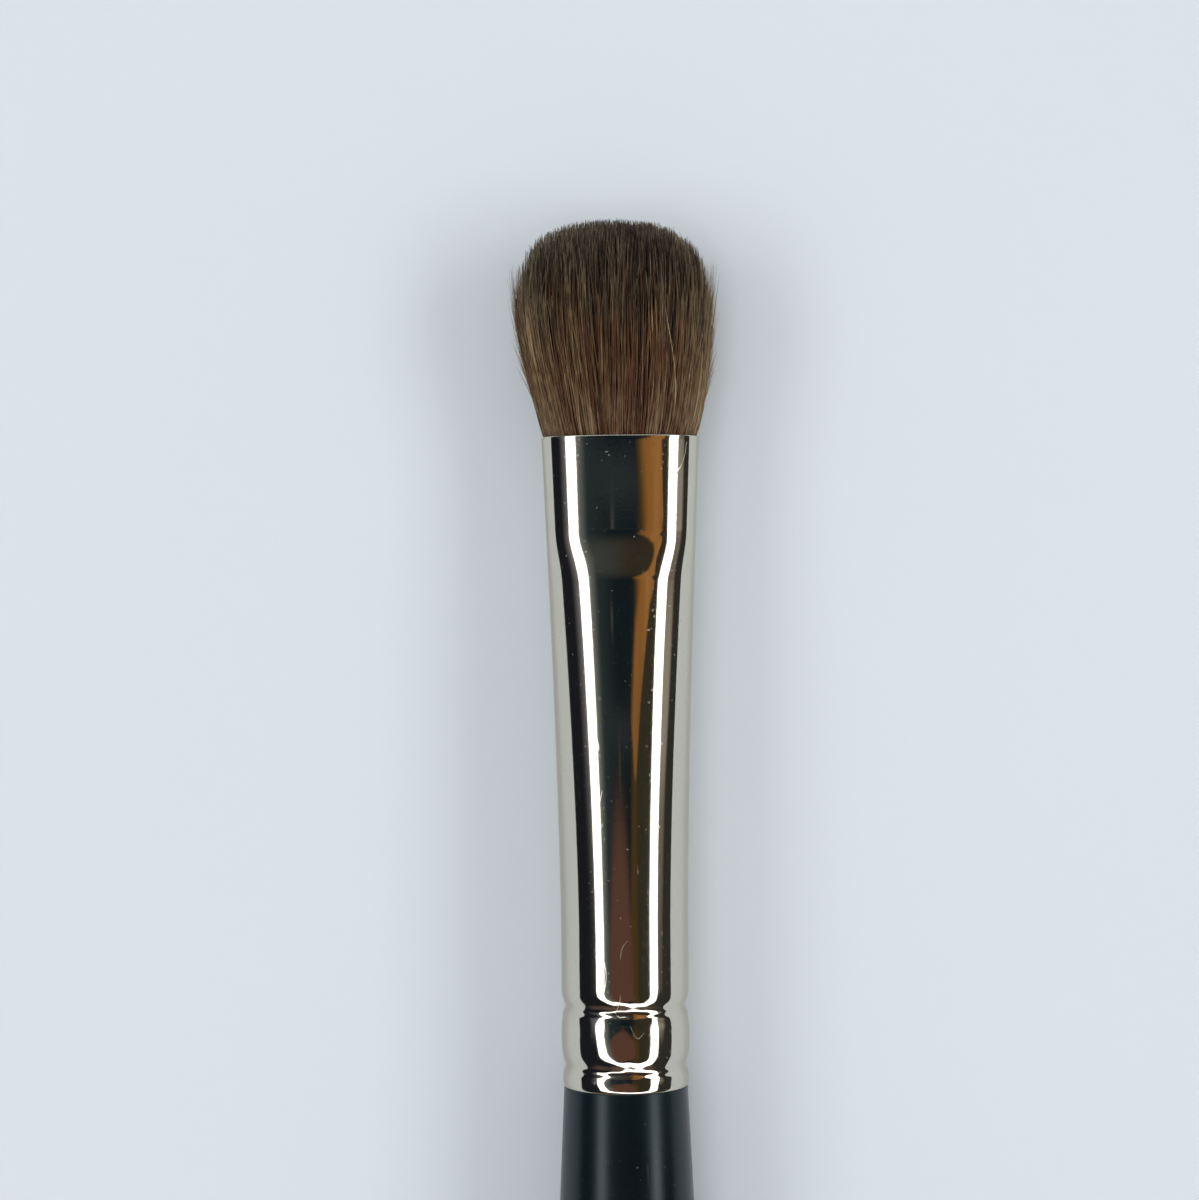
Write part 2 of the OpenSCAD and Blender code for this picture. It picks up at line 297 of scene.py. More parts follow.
def make_ferrule(material):
    """The tube as rings of points: up over the lip, back along the outside, and forward along the inside."""
    outside = ferrule_stations()
    quarter = np.linspace(0, np.pi / 2, LIP_POINTS)
    lip_at = LIP_ROUND * (1 - np.sin(quarter))
    lip_in = LIP_ROUND * (1 - np.cos(quarter))
    rows = [(at, WALL - inward) for at, inward in zip(lip_at, lip_in)]
    rows += [(at, inward) for at, inward in zip(lip_at[::-1], lip_in[::-1])][:-1]
    rows += [(at, 0) for at in outside]
    rows += [(at, WALL) for at in outside[::-INNER_EVERY]]
    at = np.array([row[0] for row in rows])[:, None]
    inward = np.array([row[1] for row in rows])[:, None]
    rolled = rolled_radius(at)
    half_w = np.where(at > FLARE_LEN, rolled, tube_half_w(at)) - inward
    half_t = np.where(at > FLARE_LEN, rolled, tube_half_t(at)) - inward
    bend = 2 / np.where(at > FLARE_LEN, 2, tube_power(at))
    angle = np.linspace(0, 2 * np.pi, FERRULE_AROUND, endpoint=False)[None, :]
    cos, sin = np.cos(angle), np.sin(angle)
    x = half_w * np.sign(cos) * np.abs(cos) ** bend
    up = half_t * np.sign(sin) * np.abs(sin) ** bend
    dent = tube_waviness(at, angle)
    points = place(x * (1 + dent / NECK_R), at, up * (1 + dent / NECK_R))
    faces = grid_faces(len(rows), FERRULE_AROUND, closed_rows=True)
    obj = add_mesh("ferrule_plated", points, faces, material)
    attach(obj, "root")
    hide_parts("ferrule")


HANDLE_AROUND = 160
HANDLE_FRONT_LEN = 4
TAIL_POINTS = 25


def make_handle(material):
    """The turned handle with its tenon, as rings of points closed by a point at each end."""
    inward = WALL + GLUE_FIT
    tenon = stations(
        (TENON_FRONT_AT + TENON_CHAMFER, FLARE_LEN, 12),
        (FLARE_LEN, FERRULE_LEN, 90),
    )
    tenon_r = np.where(tenon > FLARE_LEN, rolled_radius(tenon), drawn_half_t(tenon)) - inward
    behind = stations(
        (0, HANDLE_FRONT_LEN, 40),
        (HANDLE_FRONT_LEN, BELLY_DIST, 60),
        (BELLY_DIST, TAIL_AT, 120),
    )
    end = np.linspace(0, np.pi / 2, TAIL_POINTS)[1:-1]
    at = np.concatenate([
        [TENON_FRONT_AT],
        tenon,
        FERRULE_LEN + behind,
        FERRULE_LEN + TAIL_AT + TAIL_ROUND_LEN * np.sin(end),
    ])
    radius = np.concatenate([
        [tenon_r[0] - TENON_CHAMFER],
        tenon_r,
        handle_radius(behind),
        TAIL_D / 2 * np.cos(end),
    ])
    angle = np.linspace(0, 2 * np.pi, HANDLE_AROUND, endpoint=False)[None, :]
    points = place(radius[:, None] * np.cos(angle), at[:, None], radius[:, None] * np.sin(angle))
    points = points.reshape(-1, 3)
    tips = place(np.zeros(2), np.array([TENON_FRONT_AT, FERRULE_LEN + HANDLE_LEN]), np.zeros(2))
    front, back = len(points), len(points) + 1
    last = len(points) - HANDLE_AROUND
    faces = grid_faces(len(at), HANDLE_AROUND)
    for i in range(HANDLE_AROUND):
        j = (i + 1) % HANDLE_AROUND
        faces.append([front, j, i])
        faces.append([back, last + i, last + j])
    obj = add_mesh("handle_lacquered", np.concatenate([points, tips]), faces, material)
    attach(obj, "root")
    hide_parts("handle")


# Bristles

# Each bristle belongs to a clump, and each clump to a tuft. Leans are shares of the bundle's half width.
STRANDS = 8600
STRAND_R = 0.044
STRAND_R_LEAST = 0.75
STRAND_R_SPREAD = 0.5
STRAND_RINGS = 12
STRAND_SIDES = 3
RING_CROWDING = 0.92
ROOT_INSIDE = 1.6
ROOT_SPILL = 0.2
ROOT_SPILL_LEN = 0.5
ROOT_SPILL_UP_SHARE = 0.5
DISC_FILL = 0.985
DISC_LOOSE = 0.6
NEAREST_BATCH = 500
CLUMPS = 1400
CLUMP_PULL = 0.38
CLUMP_PULL_SPEED = 1.25
CLUMP_LEAN = 0.082
TUFTS = 130
TUFT_PULL = 0.2
TUFT_PULL_SPEED = 1.6
TUFT_LEAN = 0.035
STRAND_LEAN = 0.07
WILD_SHARE = 0.15
WILD_MORE = 1.6
LEAN_POWER = 1.3
LEAN_INSIDE = 0.6
HELD_POWER = 0.92
SWAY = 0.018
SWAY_SLOWEST = 5
SWAY_SPREAD = 5
CLUMP_TIP_SPREAD = 0.06
STRAND_TIP_DROP = 0.14
TIP_LIFT = 0.1
SHORT_SHARE = 0.45
SHORT_DROP = 0.5
SHORT_POWER = 1.6
LEFT_FULLER = 0.058
FULLER_FROM = 2
SWELL_SPEED = 1.6
PEAK_RIGHT = -0.1
HAIR_PIECES = 5

# Tapering of a bristle along its length
TIP_TAPER = 0.7
TIP_TAPER_FROM = 0.82
BODY_TAPER = 0.12
TIP_COLOUR_FROM = 0.9
TIP_COLOUR_LEN = 0.08

# Tints go from dark (0) to pale (1). Bands differ in the height at which their bristles start to darken.
TINTS = 64
BANDS = 4
TINT_MIDDLE = 0.49
TINT_CLUMP = 0.18
TINT_STRAND = 0.125
TINT_TUFT = 0.12
TINT_LEAST = 0.01
TINT_MOST = 0.99

# Loose hairs at the sides
STRAYS = 1300
STRAY_R = 0.27
STRAY_SIDE_SPREAD = 0.55
STRAY_IN = 0.95
STRAY_IN_SPREAD = 0.05
STRAY_TIP_LEAST = 3.2
STRAY_TIP_SPREAD = 5.8
STRAY_REACH_LEAST = 0.04
STRAY_REACH_SPREAD = 0.50
STRAY_REACH_POWER = 2.2
STRAY_REACH_BEND = 3
STRAY_REACH_UP = 0.5
STRAY_TINT_LEAST = 0.7
STRAY_TINT_SPREAD = 0.29

# Places of a bristle in its column of the texture layout
UV_SIDE = 0.15
UV_WIDTH = 0.7
UV_LOW = 0.01
UV_HEIGHT = 0.97
UV_CAP_SIDE = 0.2
UV_CAP_HEIGHT = 0.008


def disc_points(count):
    """Evenly spread points in the unit disc, loosened a little."""
    index = np.arange(count) + 0.5
    radius = np.sqrt(index / count)
    angle = index * np.pi * (3 - math.sqrt(5))
    loose = rng.normal(0, DISC_LOOSE / math.sqrt(count), (count, 2))
    return np.stack([radius * np.cos(angle), radius * np.sin(angle)], axis=-1) * DISC_FILL + loose


def nearest(points, centres):
    """Index of the nearest centre of each point."""
    best = np.zeros(len(points), int)
    for start in range(0, len(points), NEAREST_BATCH):
        part = points[start:start + NEAREST_BATCH]
        distance = ((part[:, None, :] - centres[None, :, :]) ** 2).sum(-1)
        best[start:start + NEAREST_BATCH] = distance.argmin(1)
    return best


def bristle_place(u, v, z):
    """Where a bristle at (u, v) of the bundle's section is at height z: across and above the axis."""
    spill = ROOT_SPILL * smooth((z + ROOT_SPILL_LEN / 2) / ROOT_SPILL_LEN) * (1 - smooth(z / HAIR_BELLY_LEN))
    x = u * (hair_half(z, MOUTH_W, HAIR_W, TIP_WIDTH_SHARE) + spill)
    up = v * (hair_half(z, MOUTH_T, HAIR_T, TIP_THICK_SHARE) + ROOT_SPILL_UP_SHARE * spill)
    swell = smooth(SWELL_SPEED * z / HAIR_LEN)
    return x * (1 - LEFT_FULLER * swell * np.clip(x / FULLER_FROM, -1, 1)), up


def strand_paths():
    """Centre lines of the bristles, with the values that their shading reads."""
    disc = disc_points(STRANDS)
    centres = disc_points(CLUMPS)
    clump = nearest(disc, centres)
    tuft_centres = disc_points(TUFTS)
    tuft = nearest(centres, tuft_centres)[clump]
    wild = 1 + WILD_MORE * (rng.random((CLUMPS, 1)) < WILD_SHARE)
    lean = (rng.normal(0, CLUMP_LEAN, (CLUMPS, 2)) * wild)[clump] + rng.normal(0, STRAND_LEAN, (STRANDS, 2))
    lean = lean + rng.normal(0, TUFT_LEAN, (TUFTS, 2))[tuft]

    def drawn_together(share):
        """Where the bristles are in the section, pulled toward their clumps and tufts."""
        pull = CLUMP_PULL * smooth(share * CLUMP_PULL_SPEED)[..., None]
        spot = mix(disc[:, None, :], centres[clump][:, None, :], pull)
        tuft_pull = TUFT_PULL * smooth(share * TUFT_PULL_SPEED)[..., None]
        return mix(spot, tuft_centres[tuft][:, None, :], tuft_pull)

    def held_in(spot):
        """Brings what leans out of the section most of the way back to its edge."""
        reach = np.maximum(1, np.hypot(spot[..., 0], spot[..., 1]))[..., None]
        return spot / reach ** HELD_POWER

    end = held_in(drawn_together(np.ones((STRANDS, 1))) + lean[:, None, :])[:, 0]
    rho = np.hypot(end[:, 0], end[:, 1])
    rho_peak = np.hypot(end[:, 0] - PEAK_RIGHT * (1 - rho), end[:, 1])
    tip = dome(rho_peak) + rng.normal(0, CLUMP_TIP_SPREAD, CLUMPS)[clump]
    tip = tip - np.abs(rng.normal(0, STRAND_TIP_DROP, STRANDS)) + TIP_LIFT
    short = rng.random(STRANDS) < SHORT_SHARE
    tip = np.where(short, tip * (1 - SHORT_DROP * rng.random(STRANDS) ** SHORT_POWER), tip)
    t = np.linspace(0, 1, STRAND_RINGS)[None, :] ** RING_CROWDING
    z = mix(-ROOT_INSIDE, tip[:, None], t)
    free = np.clip(z / HAIR_LEN, 0, 1)
    sway_turn = rng.random((STRANDS, 1, 2)) * 2 * np.pi
    sway_speed = SWAY_SLOWEST + SWAY_SPREAD * rng.random((STRANDS, 1, 2))
    sway = SWAY * np.sin(free[..., None] * sway_speed + sway_turn)
    bent = lean[:, None, :] * free[..., None] ** LEAN_POWER + sway
    spot = held_in(drawn_together(free) + bent * np.where(z > 0, 1, LEAN_INSIDE)[..., None])
    x, up = bristle_place(spot[..., 0], spot[..., 1], z)
    tint = TINT_MIDDLE + TINT_CLUMP * rng.normal(0, 1, CLUMPS)[clump]
    tint = tint + TINT_STRAND * rng.normal(0, 1, STRANDS)
    tint = np.clip(tint + TINT_TUFT * rng.normal(0, 1, TUFTS)[tuft], TINT_LEAST, TINT_MOST)
    band = rng.integers(0, BANDS, STRANDS)
    return {"x": x, "z": z, "up": up, "tint": tint, "band": band, "thick": np.ones(STRANDS)}


def stray_paths():
    """Loose, finer hairs at the sides, of which some leave the outline."""
    side = rng.integers(0, 2, STRAYS) * np.pi + rng.normal(0, STRAY_SIDE_SPREAD, STRAYS)
    rho = STRAY_IN + STRAY_IN_SPREAD * rng.random(STRAYS)
    tip = STRAY_TIP_LEAST + STRAY_TIP_SPREAD * rng.random(STRAYS)
    reach = STRAY_REACH_LEAST + STRAY_REACH_SPREAD * rng.random(STRAYS) ** STRAY_REACH_POWER
    t = np.linspace(0, 1, STRAND_RINGS)[None, :]
    z = mix(-ROOT_INSIDE, tip[:, None], t)
    out = reach[:, None] * np.clip(z / tip[:, None], 0, 1) ** STRAY_REACH_BEND
    x, up = bristle_place((rho * np.cos(side))[:, None], (rho * np.sin(side))[:, None], z)
    x = x + np.cos(side)[:, None] * out
    up = up + STRAY_REACH_UP * np.sin(side)[:, None] * out
    tint = STRAY_TINT_LEAST + STRAY_TINT_SPREAD * rng.random(STRAYS)
    band = rng.integers(0, BANDS, STRAYS)
    return {"x": x, "z": z, "up": up, "tint": tint, "band": band, "thick": np.full(STRAYS, STRAY_R)}


def join_paths(a, b):
    return {key: np.concatenate([a[key], b[key]]) for key in a}


def strand_points(paths, t):
    """Points of three-sided tapering tubes along the paths, each path with its own thickness and turn."""
    count = len(t)
    taper = 1 - TIP_TAPER * smooth((t - TIP_TAPER_FROM) / (1 - TIP_TAPER_FROM)) - BODY_TAPER * t
    own = STRAND_R_LEAST + STRAND_R_SPREAD * rng.random((count, 1))
    radius = STRAND_R * taper * paths["thick"][:, None] * own
    turn = rng.random((count, 1, 1)) * 2 * np.pi
    side = turn + np.arange(STRAND_SIDES)[None, None, :] * 2 * np.pi / STRAND_SIDES
    x = paths["x"][..., None] + radius[..., None] * np.cos(side)
    up = paths["up"][..., None] + radius[..., None] * np.sin(side)
    at = -np.broadcast_to(paths["z"][..., None], x.shape)
    return place(x, at, up)


def strand_faces(count, rings):
    """Quads along each tube and a triangle over its tip."""
    strand = np.arange(count)[:, None, None] * rings * STRAND_SIDES
    ring = np.arange(rings - 1)[None, :, None] * STRAND_SIDES
    corner = np.arange(STRAND_SIDES)[None, None, :]
    following = (corner + 1) % STRAND_SIDES
    quads = np.stack(np.broadcast_arrays(
        strand + ring + corner,
        strand + ring + STRAND_SIDES + corner,
        strand + ring + STRAND_SIDES + following,
        strand + ring + following,
    ), axis=-1).reshape(-1, 4)
    caps = (strand[:, 0] + (rings - 1) * STRAND_SIDES + np.array([[0, 2, 1]])).reshape(-1, 3)
    return quads.tolist() + caps.tolist()


def strand_uv(column, along):
    """Texture layout: all bristles of one tint and band share a column, with the height along it."""
    count, rings = along.shape
    columns = TINTS * BANDS
    corner = np.arange(STRAND_SIDES)[None, None, :]
    across = np.broadcast_to(corner / STRAND_SIDES, (count, rings - 1, STRAND_SIDES))
    over = np.broadcast_to((corner + 1) / STRAND_SIDES, across.shape)
    left = (column[:, None, None] + UV_SIDE + UV_WIDTH * across) / columns
    right = (column[:, None, None] + UV_SIDE + UV_WIDTH * over) / columns
    height = UV_LOW + UV_HEIGHT * along
    low = np.broadcast_to(height[:, :-1, None], across.shape)
    high = np.broadcast_to(height[:, 1:, None], across.shape)
    quad_uv = np.stack([
        np.stack([left, low], -1),
        np.stack([left, high], -1),
        np.stack([right, high], -1),
        np.stack([right, low], -1),
    ], axis=-2).reshape(-1, 2)
    end = height[:, -1]
    cap_uv = np.stack([
        np.stack([(column + UV_CAP_SIDE) / columns, end], -1),
        np.stack([(column + 1 - UV_CAP_SIDE) / columns, end], -1),
        np.stack([(column + 0.5) / columns, end + UV_CAP_HEIGHT], -1),
    ], axis=-2).reshape(-1, 2)
    return np.concatenate([quad_uv, cap_uv]).astype(np.float32).reshape(-1)


def strand_mesh(name, paths, material):
    """One piece of the tuft, with the attributes that the bristle material reads."""
    count, rings = paths["x"].shape
    height = paths["z"]
    t = (height - height[:, :1]) / (height[:, -1:] - height[:, :1])
    obj = add_mesh(name, strand_points(paths, t), strand_faces(count, rings), material)

    mesh = obj.data
    along = np.clip(height / HAIR_LEN, 0, 1)
    tint_class = np.floor(paths["tint"] * TINTS).astype(int)
    per_strand = rings * STRAND_SIDES
    tip = smooth((t - TIP_COLOUR_FROM) / TIP_COLOUR_LEN)
    values = {
        "tint": np.repeat((tint_class + 0.5) / TINTS, per_strand),
        "band": np.repeat(paths["band"] / (BANDS - 1), per_strand),
        "along": np.repeat(along.reshape(-1), STRAND_SIDES),
        "tip": np.repeat(tip.reshape(-1), STRAND_SIDES),
    }
    for key, array in values.items():
        attribute = mesh.attributes.new(key, "FLOAT", "POINT")
        attribute.data.foreach_set("value", array.astype(np.float32))

    uv = strand_uv(tint_class * BANDS + paths["band"], along)
    for layer_name in ("strand", "OFBake"):
        layer = mesh.uv_layers.new(name=layer_name)
        layer.data.foreach_set("uv", uv)
    mesh.uv_layers["strand"].active_render = True
    mesh.uv_layers.active = mesh.uv_layers["strand"]
    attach(obj, "root")
    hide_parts("hair_head")


def make_hair(material):
    paths = join_paths(strand_paths(), stray_paths())
    order = np.argsort(paths["x"][:, 0])
    for number, part in enumerate(np.array_split(order, HAIR_PIECES)):
        own_paths = {key: value[part] for key, value in paths.items()}
        strand_mesh(f"bristles_{number + 1}", own_paths, material)


# Materials

class Shader:
    """Short calls for a material's nodes."""

    def __init__(self, name):
        self.material = bpy.data.materials.new(name)
        self.material.use_nodes = True
        self.tree = self.material.node_tree
        self.tree.nodes.clear()
        self.output = self.add("ShaderNodeOutputMaterial")

    def add(self, kind, **settings):
        node = self.tree.nodes.new(kind)
        for key, value in settings.items():
            setattr(node, key, value)
        return node

    def feed(self, socket, value):
        if isinstance(value, bpy.types.NodeSocket):
            self.tree.links.new(value, socket)
        else:
            socket.default_value = value

    def math(self, operation, *values, clamp=False):
        node = self.add("ShaderNodeMath", operation=operation, use_clamp=clamp)
        for socket, value in zip(node.inputs, values):
            self.feed(socket, value)
        return node.outputs[0]

    def vector(self, operation, *values):
        node = self.add("ShaderNodeVectorMath", operation=operation)
        for socket, value in zip(node.inputs, values):
            self.feed(socket, value)
        return node.outputs["Value" if operation == "LENGTH" else "Vector"]

    def step(self, value, low, high):
        """0 at low, 1 at high, eased between."""
        node = self.add("ShaderNodeMapRange", interpolation_type="SMOOTHSTEP")
        self.feed(node.inputs["Value"], value)
        self.feed(node.inputs["From Min"], low)
        self.feed(node.inputs["From Max"], high)
        return node.outputs["Result"]

    def scale(self, value, low, high, to_low, to_high):
        """to_low at low, to_high at high, straight between."""
        node = self.add("ShaderNodeMapRange")
        sockets = ("Value", "From Min", "From Max", "To Min", "To Max")
        for key, number in zip(sockets, (value, low, high, to_low, to_high)):
            self.feed(node.inputs[key], number)
        return node.outputs["Result"]

    def blend(self, factor, a, b):
        node = self.add("ShaderNodeMix", data_type="RGBA")
        self.feed(node.inputs["Factor"], factor)
        sockets = [s for s in node.inputs if s.type == "RGBA"]
        self.feed(sockets[0], a)
        self.feed(sockets[1], b)
        return [s for s in node.outputs if s.type == "RGBA"][0]

    def ramp(self, value, stops):
        node = self.add("ShaderNodeValToRGB")
        elements = node.color_ramp.elements
        while len(elements) < len(stops):
            elements.new(1)
        for element, (position, colour) in zip(elements, stops):
            element.position = position
            element.color = colour
        self.feed(node.inputs["Fac"], value)
        return node.outputs["Color"]

    def coordinates(self):
        return self.add("ShaderNodeTexCoord").outputs["Object"]

    def stretched(self, scale):
        node = self.add("ShaderNodeMapping")
        self.feed(node.inputs["Vector"], self.coordinates())
        node.inputs["Scale"].default_value = scale
        return node.outputs["Vector"]

    def noise(self, vector, scale, detail, roughness=0.5):
        node = self.add("ShaderNodeTexNoise")
        self.feed(node.inputs["Vector"], vector)
        node.inputs["Scale"].default_value = scale
        node.inputs["Detail"].default_value = detail
        node.inputs["Roughness"].default_value = roughness
        return node.outputs["Fac"]

    def attribute(self, name):
        return self.add("ShaderNodeAttribute", attribute_name=name).outputs["Fac"]

    def bump(self, height, strength, distance):
        node = self.add("ShaderNodeBump")
        node.inputs["Strength"].default_value = strength
        node.inputs["Distance"].default_value = distance
        self.feed(node.inputs["Height"], height)
        return node.outputs["Normal"]

    def glow(self, colour, strength=1.0):
        node = self.add("ShaderNodeEmission")
        node.inputs["Strength"].default_value = strength
        self.feed(node.inputs["Color"], colour)
        return node.outputs[0]

    def principled(self, **values):
        node = self.add("ShaderNodeBsdfPrincipled")
        for key, value in values.items():
            self.feed(node.inputs[key.replace("_", " ")], value)
        self.tree.links.new(node.outputs["BSDF"], self.output.inputs["Surface"])
        return node


def rgb(*values):
    return (*values, 1.0)


HAIR_ROOT_COLOURS = [
    (0.0, rgb(0.038, 0.011, 0.003)),
    (0.3, rgb(0.080, 0.028, 0.008)),
    (0.5, rgb(0.110, 0.051, 0.017)),
    (0.68, rgb(0.158, 0.092, 0.040)),
    (0.84, rgb(0.225, 0.136, 0.052)),
    (1.0, rgb(0.330, 0.235, 0.130)),
]
HAIR_UPPER_COLOURS = [
    (0.0, rgb(0.012, 0.006, 0.003)),
    (0.45, rgb(0.038, 0.022, 0.011)),
    (0.72, rgb(0.086, 0.057, 0.031)),
    (1.0, rgb(0.210, 0.150, 0.085)),
]
HAIR_MOUTH_PALE = rgb(0.29, 0.21, 0.13)
HAIR_TIP_PALE = rgb(0.22, 0.163, 0.098)


def hair_material():
    """Brown bristles, warmer at the mouth and darker above, with paler tips and uneven tints."""
    s = Shader("bristle_hair")
    band, along, tip = s.attribute("band"), s.attribute("along"), s.attribute("tip")
    streaks = s.noise(s.stretched((1, 0.27, 1)), scale=4300, detail=2)
    cloud = s.noise(s.stretched((1, 0.6, 1)), scale=330, detail=2)
    tint = s.math("ADD", s.attribute("tint"), s.scale(streaks, 0.3, 0.7, -0.17, 0.17))
    tint = s.math("ADD", tint, s.scale(cloud, 0.3, 0.7, -0.13, 0.13), clamp=True)
    colour = s.ramp(tint, HAIR_ROOT_COLOURS)
    upper = s.ramp(tint, HAIR_UPPER_COLOURS)
    start = s.scale(band, 0, 1, 0.22, 0.56)
    colour = s.blend(s.step(s.math("SUBTRACT", along, start), 0, 0.3), colour, upper)
    paler = s.math("MULTIPLY", s.scale(along, 0, 0.3, 0.42, 0), s.step(tint, 0.2, 0.85))
    colour = s.blend(paler, colour, HAIR_MOUTH_PALE)
    tip_pale = s.math("MULTIPLY", tip, s.step(tint, 0.25, 0.75))
    colour = s.blend(tip_pale, colour, HAIR_TIP_PALE)
    roughness = s.scale(tint, 0, 1, 0.52, 0.42)
    s.principled(Base_Color=colour, Roughness=roughness, Specular_IOR_Level=0.36)
    return s.material


NICKEL = rgb(0.60, 0.575, 0.50)
NICKEL_SPECK = rgb(0.50, 0.48, 0.42)
NICKEL_EDGE = rgb(0.85, 0.83, 0.77)
NICKEL_DUST = rgb(0.62, 0.61, 0.57)
DUST_METALLIC_LOSS = -0.6


def nickel_material():
    """Polished plating with a faint haze, drawn lines, a few curved scratches, specks and grains of dust."""
    s = Shader("nickel_plate")
    fine = s.noise(s.coordinates(), scale=5200, detail=2)
    specks = s.step(s.noise(s.stretched((1, 0.7, 1)), scale=6500, detail=0), 0.76, 0.81)
    brushed = s.noise(s.stretched((1, 0.05, 1)), scale=4200, detail=3)
    haze = s.noise(s.stretched((1, 0.35, 1)), scale=190, detail=4)
    folds = s.noise(s.stretched((1, 0.45, 1)), scale=330, detail=1.5)
    curves = s.math("ABSOLUTE", s.math("SUBTRACT", folds, 0.5))
    scratched = s.step(s.noise(s.stretched((1.7, 1.2, 1.7)), scale=260, detail=1), 0.60, 0.64)
    scratches = s.math("MULTIPLY", s.math("SUBTRACT", 1.0, s.step(curves, 0.0012, 0.0036)), scratched)
    wear = s.math("ADD", s.math("MULTIPLY", specks, 0.12), s.math("MULTIPLY", scratches, 0.3))
    roughness = s.math("ADD", s.scale(haze, 0.35, 0.7, 0.04, 0.085), wear)
    height = s.math("ADD", s.math("MULTIPLY", brushed, 0.35), s.math("ADD", fine, scratches))
    colour = s.blend(s.math("MULTIPLY", specks, 0.4), NICKEL, NICKEL_SPECK)
    dusty = s.scale(s.noise(s.stretched((1, 0.5, 1)), scale=300, detail=2), 0.36, 0.64, 0.2, 0.7)
    grains = s.step(s.noise(s.coordinates(), scale=7000, detail=0), 0.81, 0.88)
    dust = s.math("MULTIPLY", grains, dusty)
    colour = s.blend(dust, colour, NICKEL_DUST)
    s.principled(
        Base_Color=colour,
        Metallic=s.math("MULTIPLY_ADD", dust, DUST_METALLIC_LOSS, 1.0),
        Specular_Tint=NICKEL_EDGE,
        Roughness=roughness,
        Normal=s.bump(height, strength=0.035, distance=0.00002),
    )
    return s.material


LACQUER = rgb(0.0004, 0.0038, 0.0052)
LACQUER_PALER = rgb(0.0008, 0.0052, 0.0070)
LACQUER_MARK = rgb(0.03, 0.04, 0.045)
LACQUER_DUST = rgb(0.13, 0.15, 0.16)
LACQUER_SHEEN = rgb(0.82, 0.94, 1.0)


def lacquer_material():
    """Satin black lacquer with fine marks along the handle and a few grains of dust."""
    s = Shader("black_lacquer")
    peel = s.noise(s.stretched((1, 0.8, 1)), scale=1500, detail=2)
    scuffs = s.noise(s.stretched((1, 0.08, 1)), scale=1900, detail=4, roughness=0.6)
    marks = s.step(scuffs, 0.66, 0.74)
    cloud = s.noise(s.coordinates(), scale=120, detail=4)
    roughness = s.math("ADD", s.scale(cloud, 0.3, 0.7, 0.25, 0.31), s.math("MULTIPLY", marks, 0.08))
    colour = s.blend(s.scale(cloud, 0.3, 0.7, 0, 1), LACQUER, LACQUER_PALER)
    colour = s.blend(s.math("MULTIPLY", marks, 0.3), colour, LACQUER_MARK)
    dust = s.step(s.noise(s.stretched((0.7, 1, 0.7)), scale=5600, detail=0), 0.81, 0.90)
    colour = s.blend(s.math("MULTIPLY", dust, 0.35), colour, LACQUER_DUST)
    s.principled(
        Base_Color=colour,
        Roughness=roughness,
        Specular_IOR_Level=0.37,
        Specular_Tint=LACQUER_SHEEN,
        Normal=s.bump(peel, strength=0.1, distance=0.00003),
    )
    return s.material


# Painted shade in the grooves between the thread's turns; the thread itself is the light colour
THREAD_SHADE_BETWEEN_TURNS = rgb(0.42, 0.38, 0.28)
THREAD_LIGHT = rgb(0.74, 0.70, 0.58)
THREAD_TURNS_SCALE = 1400


def thread_material():
    """Pale thread, its turns drawn as waves, with painted shade in the grooves between the turns."""
    s = Shader("tie_thread")
    wave = s.add("ShaderNodeTexWave", bands_direction="Y")
    s.feed(wave.inputs["Vector"], s.coordinates())
    wave.inputs["Scale"].default_value = THREAD_TURNS_SCALE
    wave.inputs["Distortion"].default_value = 1.5
    turns = wave.outputs["Fac"]
    # Painted shade between the turns, pale thread on them
    colour = s.blend(turns, THREAD_SHADE_BETWEEN_TURNS, THREAD_LIGHT)
    s.principled(Base_Color=colour, Roughness=0.85, Normal=s.bump(turns, strength=0.6, distance=0.0001))
    return s.material


def cast_material(name, dark, light, scale, roughness):
    """Resin or glue, a little cloudy."""
    s = Shader(name)
    cloud = s.noise(s.coordinates(), scale=scale, detail=4)
    colour = s.blend(s.step(cloud, 0.35, 0.65), dark, light)
    s.principled(Base_Color=colour, Roughness=roughness, Normal=s.bump(cloud, strength=0.2, distance=0.0002))
    return s.material


BACKDROP = rgb(0.72, 0.77, 0.815)
TABLE_DARK = rgb(0.704, 0.754, 0.793)
TABLE_LIGHT = rgb(0.726, 0.774, 0.811)
TABLE_FADE_FROM = 0.25
TABLE_FADE_TO = 0.8


def floor_material():
    """Pale table that takes on the backdrop's colour far from the brush."""
    s = Shader("pale_table")
    paper = s.noise(s.coordinates(), scale=900, detail=5)
    cloud = s.noise(s.coordinates(), scale=14, detail=3)
    colour = s.blend(s.scale(cloud, 0.3, 0.7, 0, 1), TABLE_DARK, TABLE_LIGHT)
    grain = s.bump(paper, strength=0.08, distance=0.0001)
    table = s.principled(Base_Color=colour, Roughness=0.75, Normal=grain)
    path = s.add("ShaderNodeLightPath")
    seen = s.math("MAXIMUM", path.outputs["Is Camera Ray"], path.outputs["Is Glossy Ray"])
    seen = s.math("MAXIMUM", seen, path.outputs["Is Transmission Ray"])
    far = s.step(s.vector("LENGTH", s.coordinates()), TABLE_FADE_FROM, TABLE_FADE_TO)
    join = s.add("ShaderNodeMixShader")
    s.feed(join.inputs[0], s.math("MULTIPLY", seen, far))
    s.tree.links.new(table.outputs["BSDF"], join.inputs[1])
    s.tree.links.new(s.glow(BACKDROP), join.inputs[2])
    s.tree.links.new(join.outputs[0], s.output.inputs["Surface"])
    return s.material


# Studio: table, lamps, sky and the cards that the metal mirrors

